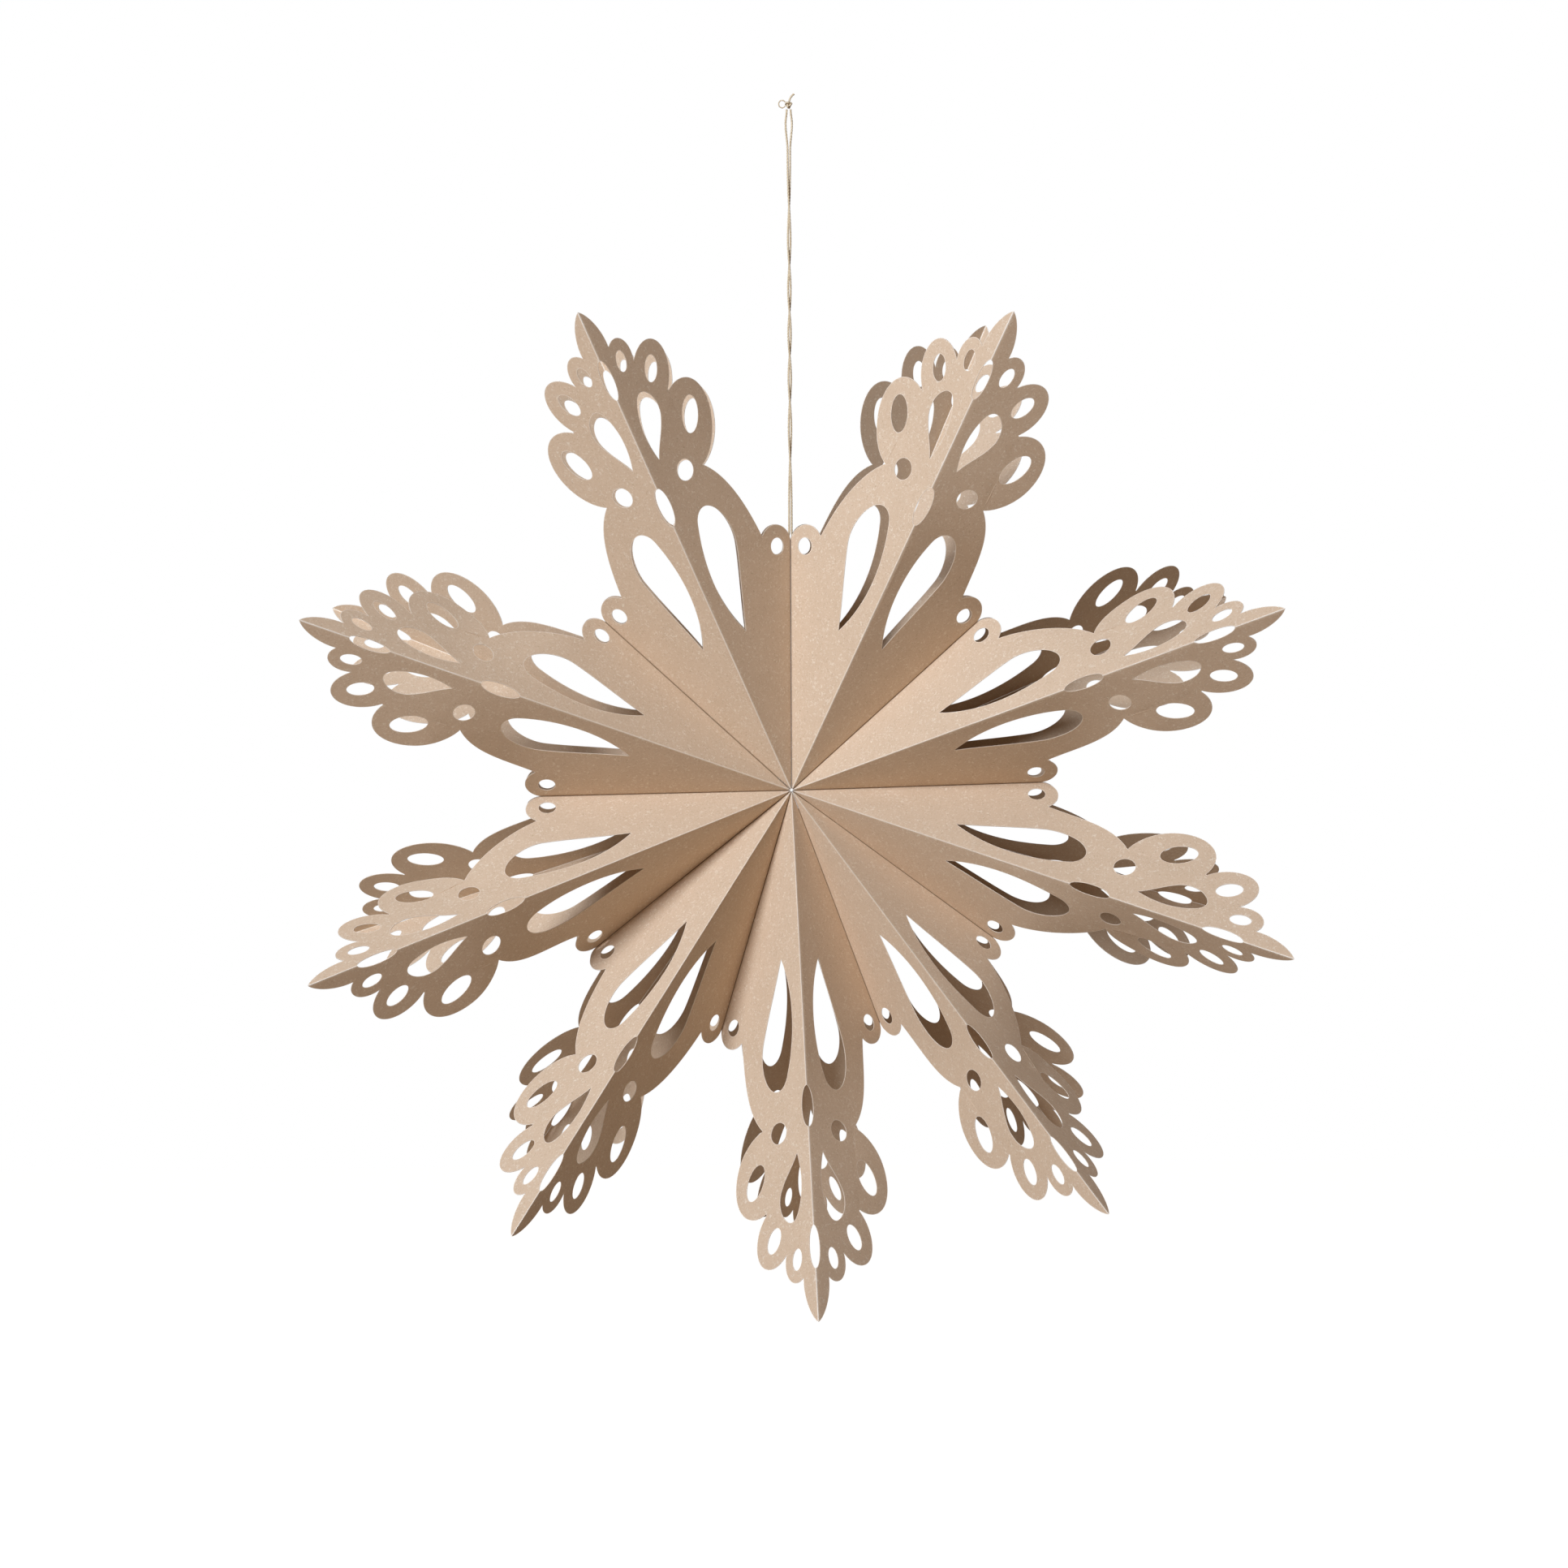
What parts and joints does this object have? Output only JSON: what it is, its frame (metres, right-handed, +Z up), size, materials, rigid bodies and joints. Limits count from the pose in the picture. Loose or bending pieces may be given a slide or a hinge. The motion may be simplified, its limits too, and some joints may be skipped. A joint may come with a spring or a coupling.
{
  "type": "hanging paper star",
  "caption": "Hanging star of die-cut card: creased lace-cut points stand round one centre, close into a fan and hang from a knotted twine.",
  "frame": {"origin": "the point where a hook holds the twine, between the two strands just under the knot", "axes": "+Z up along the twine, the star's front faces -Y, +X to the right as seen from the front"},
  "size_m": [0.5669, 0.2828, 0.7116],
  "materials": {
    "card": "matte kraft card",
    "glued_card": "matte kraft card edges with glue between",
    "twine": "rough natural jute"
  },
  "bodies": {
    "twine_knot": {"knot": "twine", "side_loop": "twine", "twine_tail": "twine"},
    "twine": {"twine": "twine"},
    "end_strip_right": {"end_strip_right": "card"},
    "end_strip_left": {"end_strip_left": "card"},
    "seam_1_2": {"seam_1_2": "glued_card"},
    "seam_2_3": {"seam_2_3": "glued_card"},
    "seam_3_4": {"seam_3_4": "glued_card"},
    "seam_4_5": {"seam_4_5": "glued_card"},
    "seam_5_6": {"seam_5_6": "glued_card"},
    "seam_6_7": {"seam_6_7": "glued_card"},
    "seam_7_8": {"seam_7_8": "glued_card"},
    "seam_8_9": {"seam_8_9": "glued_card"},
    "point_1_front_left": {"point_1_front_left": "card"},
    "point_1_front_right": {"point_1_front_right": "card"},
    "point_1_back_left": {"point_1_back_left": "card"},
    "point_1_back_right": {"point_1_back_right": "card"},
    "point_2_front_left": {"point_2_front_left": "card"},
    "point_2_front_right": {"point_2_front_right": "card"},
    "point_2_back_left": {"point_2_back_left": "card"},
    "point_2_back_right": {"point_2_back_right": "card"},
    "point_3_front_left": {"point_3_front_left": "card"},
    "point_3_front_right": {"point_3_front_right": "card"},
    "point_3_back_left": {"point_3_back_left": "card"},
    "point_3_back_right": {"point_3_back_right": "card"},
    "point_4_front_left": {"point_4_front_left": "card"},
    "point_4_front_right": {"point_4_front_right": "card"},
    "point_4_back_left": {"point_4_back_left": "card"},
    "point_4_back_right": {"point_4_back_right": "card"},
    "point_5_front_left": {"point_5_front_left": "card"},
    "point_5_front_right": {"point_5_front_right": "card"},
    "point_5_back_left": {"point_5_back_left": "card"},
    "point_5_back_right": {"point_5_back_right": "card"},
    "point_6_front_left": {"point_6_front_left": "card"},
    "point_6_front_right": {"point_6_front_right": "card"},
    "point_6_back_left": {"point_6_back_left": "card"},
    "point_6_back_right": {"point_6_back_right": "card"},
    "point_7_front_left": {"point_7_front_left": "card"},
    "point_7_front_right": {"point_7_front_right": "card"},
    "point_7_back_left": {"point_7_back_left": "card"},
    "point_7_back_right": {"point_7_back_right": "card"},
    "point_8_front_left": {"point_8_front_left": "card"},
    "point_8_front_right": {"point_8_front_right": "card"},
    "point_8_back_left": {"point_8_back_left": "card"},
    "point_8_back_right": {"point_8_back_right": "card"},
    "point_9_front_left": {"point_9_front_left": "card"},
    "point_9_front_right": {"point_9_front_right": "card"},
    "point_9_back_left": {"point_9_back_left": "card"},
    "point_9_back_right": {"point_9_back_right": "card"}
  },
  "joints": [
    {"name": "turn", "type": "hinge", "parent": "twine_knot", "child": "twine", "pos_m": [0, 0, 0], "axis": [0, 0, 1], "range_deg": [-180, 180]},
    {"name": "tilt", "type": "hinge", "parent": "twine", "child": "end_strip_right", "pos_m": [0, 0, -0.265], "axis": [1, 0, 0], "range_deg": [-8, 8]},
    {"name": "fold", "type": "hinge", "parent": "end_strip_right", "child": "seam_1_2", "pos_m": [0, 0, -0.405], "axis": [0, -1, 0], "range_deg": [0, 34.56]},
    {"name": "crease_1_front", "type": "hinge", "parent": "end_strip_right", "child": "point_1_front_left", "pos_m": [0, -0.0025, -0.405], "axis": [0, 0, -1], "range_deg": [0, 38.68]},
    {"name": "ridge_1_front", "type": "hinge", "parent": "point_1_front_left", "child": "point_1_front_right", "pos_m": [0, -0.0025, -0.405], "axis": [0.3856, -0.3183, 0.866], "range_deg": [0, 81.81]},
    {"name": "crease_1_back", "type": "hinge", "parent": "end_strip_right", "child": "point_1_back_left", "pos_m": [0, 0.0025, -0.405], "axis": [0, 0, 1], "range_deg": [0, 38.68]},
    {"name": "ridge_1_back", "type": "hinge", "parent": "point_1_back_left", "child": "point_1_back_right", "pos_m": [0, 0.0025, -0.405], "axis": [-0.3856, -0.3183, -0.866], "range_deg": [0, 81.81]},
    {"name": "fold_2", "type": "hinge", "parent": "seam_1_2", "child": "seam_2_3", "pos_m": [0, 0, -0.405], "axis": [0, -1, 0], "range_deg": [0, 29.16]},
    {"name": "crease_2_front", "type": "hinge", "parent": "seam_1_2", "child": "point_2_front_left", "pos_m": [0, -0.0025, -0.405], "axis": [-0.7431, 0, -0.6691], "range_deg": [0, 29.82]},
    {"name": "ridge_2_front", "type": "hinge", "parent": "point_2_front_left", "child": "point_2_front_right", "pos_m": [0, -0.0025, -0.405], "axis": [0.8574, -0.3846, 0.3421], "range_deg": [0, 64.82]},
    {"name": "crease_2_back", "type": "hinge", "parent": "seam_1_2", "child": "point_2_back_left", "pos_m": [0, 0.0025, -0.405], "axis": [0.7431, 0, 0.6691], "range_deg": [0, 29.82]},
    {"name": "ridge_2_back", "type": "hinge", "parent": "point_2_back_left", "child": "point_2_back_right", "pos_m": [0, 0.0025, -0.405], "axis": [-0.8574, -0.3846, -0.3421], "range_deg": [0, 64.82]},
    {"name": "fold_3", "type": "hinge", "parent": "seam_2_3", "child": "seam_3_4", "pos_m": [0, 0, -0.405], "axis": [0, -1, 0], "range_deg": [0, 27.36]},
    {"name": "crease_3_front", "type": "hinge", "parent": "seam_2_3", "child": "point_3_front_left", "pos_m": [0, -0.0025, -0.405], "axis": [-0.9997, 0, -0.0262], "range_deg": [0, 27.33]},
    {"name": "ridge_3_front", "type": "hinge", "parent": "point_3_front_left", "child": "point_3_front_right", "pos_m": [0, -0.0025, -0.405], "axis": [0.8735, -0.4013, -0.2754], "range_deg": [0, 59.88]},
    {"name": "crease_3_back", "type": "hinge", "parent": "seam_2_3", "child": "point_3_back_left", "pos_m": [0, 0.0025, -0.405], "axis": [0.9997, 0, 0.0262], "range_deg": [0, 27.33]},
    {"name": "ridge_3_back", "type": "hinge", "parent": "point_3_back_left", "child": "point_3_back_right", "pos_m": [0, 0.0025, -0.405], "axis": [-0.8735, -0.4013, 0.2754], "range_deg": [0, 59.88]},
    {"name": "fold_4", "type": "hinge", "parent": "seam_3_4", "child": "seam_4_5", "pos_m": [0, 0, -0.405], "axis": [0, -1, 0], "range_deg": [0, 23.76]},
    {"name": "crease_4_front", "type": "hinge", "parent": "seam_3_4", "child": "point_4_front_left", "pos_m": [0, -0.0025, -0.405], "axis": [-0.8039, 0, 0.5948], "range_deg": [0, 22.82]},
    {"name": "ridge_4_front", "type": "hinge", "parent": "point_4_front_left", "child": "point_4_front_right", "pos_m": [0, -0.0025, -0.405], "axis": [0.5436, -0.4292, -0.7213], "range_deg": [0, 50.69]},
    {"name": "crease_4_back", "type": "hinge", "parent": "seam_3_4", "child": "point_4_back_left", "pos_m": [0, 0.0025, -0.405], "axis": [0.8039, 0, -0.5948], "range_deg": [0, 22.82]},
    {"name": "ridge_4_back", "type": "hinge", "parent": "point_4_back_left", "child": "point_4_back_right", "pos_m": [0, 0.0025, -0.405], "axis": [-0.5436, -0.4292, 0.7213], "range_deg": [0, 50.69]},
    {"name": "fold_5", "type": "hinge", "parent": "seam_4_5", "child": "seam_5_6", "pos_m": [0, 0, -0.405], "axis": [0, -1, 0], "range_deg": [0, 26.64]},
    {"name": "crease_5_front", "type": "hinge", "parent": "seam_4_5", "child": "point_5_front_left", "pos_m": [0, -0.0025, -0.405], "axis": [-0.3502, 0, 0.9367], "range_deg": [0, 26.39]},
    {"name": "ridge_5_front", "type": "hinge", "parent": "point_5_front_left", "child": "point_5_front_right", "pos_m": [0, -0.0025, -0.405], "axis": [0.0319, -0.4075, -0.9127], "range_deg": [0, 57.98]},
    {"name": "crease_5_back", "type": "hinge", "parent": "seam_4_5", "child": "point_5_back_left", "pos_m": [0, 0.0025, -0.405], "axis": [0.3502, 0, -0.9367], "range_deg": [0, 26.39]},
    {"name": "ridge_5_back", "type": "hinge", "parent": "point_5_back_left", "child": "point_5_back_right", "pos_m": [0, 0.0025, -0.405], "axis": [-0.0319, -0.4075, 0.9127], "range_deg": [0, 57.98]},
    {"name": "fold_6", "type": "hinge", "parent": "seam_5_6", "child": "seam_6_7", "pos_m": [0, 0, -0.405], "axis": [0, -1, 0], "range_deg": [0, 25.2]},
    {"name": "crease_6_front", "type": "hinge", "parent": "seam_5_6", "child": "point_6_front_left", "pos_m": [0, -0.0025, -0.405], "axis": [0.284, 0, 0.9588], "range_deg": [0, 24.56]},
    {"name": "ridge_6_front", "type": "hinge", "parent": "point_6_front_left", "child": "point_6_front_right", "pos_m": [0, -0.0025, -0.405], "axis": [-0.5078, -0.4189, -0.7528], "range_deg": [0, 54.27]},
    {"name": "crease_6_back", "type": "hinge", "parent": "seam_5_6", "child": "point_6_back_left", "pos_m": [0, 0.0025, -0.405], "axis": [-0.284, 0, -0.9588], "range_deg": [0, 24.56]},
    {"name": "ridge_6_back", "type": "hinge", "parent": "point_6_back_left", "child": "point_6_back_right", "pos_m": [0, 0.0025, -0.405], "axis": [0.5078, -0.4189, 0.7528], "range_deg": [0, 54.27]},
    {"name": "fold_7", "type": "hinge", "parent": "seam_6_7", "child": "seam_7_8", "pos_m": [0, 0, -0.405], "axis": [0, -1, 0], "range_deg": [0, 27]},
    {"name": "crease_7_front", "type": "hinge", "parent": "seam_6_7", "child": "point_7_front_left", "pos_m": [0, -0.0025, -0.405], "axis": [0.7826, 0, 0.6225], "range_deg": [0, 26.86]},
    {"name": "ridge_7_front", "type": "hinge", "parent": "point_7_front_left", "child": "point_7_front_right", "pos_m": [0, -0.0025, -0.405], "axis": [-0.8608, -0.4044, -0.309], "range_deg": [0, 58.93]},
    {"name": "crease_7_back", "type": "hinge", "parent": "seam_6_7", "child": "point_7_back_left", "pos_m": [0, 0.0025, -0.405], "axis": [-0.7826, 0, -0.6225], "range_deg": [0, 26.86]},
    {"name": "ridge_7_back", "type": "hinge", "parent": "point_7_back_left", "child": "point_7_back_right", "pos_m": [0, 0.0025, -0.405], "axis": [0.8608, -0.4044, 0.309], "range_deg": [0, 58.93]},
    {"name": "fold_8", "type": "hinge", "parent": "seam_7_8", "child": "seam_8_9", "pos_m": [0, 0, -0.405], "axis": [0, -1, 0], "range_deg": [0, 31.32]},
    {"name": "crease_8_front", "type": "hinge", "parent": "seam_7_8", "child": "point_8_front_left", "pos_m": [0, -0.0025, -0.405], "axis": [0.9998, 0, 0.0175], "range_deg": [0, 33.06]},
    {"name": "ridge_8_front", "type": "hinge", "parent": "point_8_front_left", "child": "point_8_front_right", "pos_m": [0, -0.0025, -0.405], "axis": [-0.8719, -0.3614, 0.3303], "range_deg": [0, 71.15]},
    {"name": "crease_8_back", "type": "hinge", "parent": "seam_7_8", "child": "point_8_back_left", "pos_m": [0, 0.0025, -0.405], "axis": [-0.9998, 0, -0.0175], "range_deg": [0, 33.06]},
    {"name": "ridge_8_back", "type": "hinge", "parent": "point_8_back_left", "child": "point_8_back_right", "pos_m": [0, 0.0025, -0.405], "axis": [0.8719, -0.3614, -0.3303], "range_deg": [0, 71.15]},
    {"name": "fold_9", "type": "hinge", "parent": "seam_8_9", "child": "end_strip_left", "pos_m": [0, 0, -0.405], "axis": [0, -1, 0], "range_deg": [0, 34.2]},
    {"name": "crease_9_front", "type": "hinge", "parent": "seam_8_9", "child": "point_9_front_left", "pos_m": [0, -0.0025, -0.405], "axis": [0.7373, 0, -0.6756], "range_deg": [0, 38]},
    {"name": "ridge_9_front", "type": "hinge", "parent": "point_9_front_left", "child": "point_9_front_right", "pos_m": [0, -0.0025, -0.405], "axis": [-0.3811, -0.3237, 0.866], "range_deg": [0, 80.53]},
    {"name": "crease_9_back", "type": "hinge", "parent": "seam_8_9", "child": "point_9_back_left", "pos_m": [0, 0.0025, -0.405], "axis": [-0.7373, 0, 0.6756], "range_deg": [0, 38]},
    {"name": "ridge_9_back", "type": "hinge", "parent": "point_9_back_left", "child": "point_9_back_right", "pos_m": [0, 0.0025, -0.405], "axis": [0.3811, -0.3237, -0.866], "range_deg": [0, 80.53]}
  ],
  "couplings": [
    {"joint": "crease_1_front", "follows": "fold", "ratio": 1.1193},
    {"joint": "ridge_1_front", "follows": "fold", "ratio": 2.367},
    {"joint": "crease_1_back", "follows": "fold", "ratio": 1.1193},
    {"joint": "ridge_1_back", "follows": "fold", "ratio": 2.367},
    {"joint": "fold_2", "follows": "fold", "ratio": 0.84375},
    {"joint": "crease_2_front", "follows": "fold", "ratio": 0.86268},
    {"joint": "ridge_2_front", "follows": "fold", "ratio": 1.8756},
    {"joint": "crease_2_back", "follows": "fold", "ratio": 0.86268},
    {"joint": "ridge_2_back", "follows": "fold", "ratio": 1.8756},
    {"joint": "fold_3", "follows": "fold", "ratio": 0.79167},
    {"joint": "crease_3_front", "follows": "fold", "ratio": 0.79081},
    {"joint": "ridge_3_front", "follows": "fold", "ratio": 1.7327},
    {"joint": "crease_3_back", "follows": "fold", "ratio": 0.79081},
    {"joint": "ridge_3_back", "follows": "fold", "ratio": 1.7327},
    {"joint": "fold_4", "follows": "fold", "ratio": 0.6875},
    {"joint": "crease_4_front", "follows": "fold", "ratio": 0.66035},
    {"joint": "ridge_4_front", "follows": "fold", "ratio": 1.4666},
    {"joint": "crease_4_back", "follows": "fold", "ratio": 0.66035},
    {"joint": "ridge_4_back", "follows": "fold", "ratio": 1.4666},
    {"joint": "fold_5", "follows": "fold", "ratio": 0.77083},
    {"joint": "crease_5_front", "follows": "fold", "ratio": 0.76343},
    {"joint": "ridge_5_front", "follows": "fold", "ratio": 1.6776},
    {"joint": "crease_5_back", "follows": "fold", "ratio": 0.76343},
    {"joint": "ridge_5_back", "follows": "fold", "ratio": 1.6776},
    {"joint": "fold_6", "follows": "fold", "ratio": 0.72917},
    {"joint": "crease_6_front", "follows": "fold", "ratio": 0.71069},
    {"joint": "ridge_6_front", "follows": "fold", "ratio": 1.5703},
    {"joint": "crease_6_back", "follows": "fold", "ratio": 0.71069},
    {"joint": "ridge_6_back", "follows": "fold", "ratio": 1.5703},
    {"joint": "fold_7", "follows": "fold", "ratio": 0.78125},
    {"joint": "crease_7_front", "follows": "fold", "ratio": 0.77703},
    {"joint": "ridge_7_front", "follows": "fold", "ratio": 1.705},
    {"joint": "crease_7_back", "follows": "fold", "ratio": 0.77703},
    {"joint": "ridge_7_back", "follows": "fold", "ratio": 1.705},
    {"joint": "fold_8", "follows": "fold", "ratio": 0.90625},
    {"joint": "crease_8_front", "follows": "fold", "ratio": 0.95664},
    {"joint": "ridge_8_front", "follows": "fold", "ratio": 2.0588},
    {"joint": "crease_8_back", "follows": "fold", "ratio": 0.95664},
    {"joint": "ridge_8_back", "follows": "fold", "ratio": 2.0588},
    {"joint": "fold_9", "follows": "fold", "ratio": 0.98958},
    {"joint": "crease_9_front", "follows": "fold", "ratio": 1.0996},
    {"joint": "ridge_9_front", "follows": "fold", "ratio": 2.3302},
    {"joint": "crease_9_back", "follows": "fold", "ratio": 1.0996},
    {"joint": "ridge_9_back", "follows": "fold", "ratio": 2.3302}
  ]
}
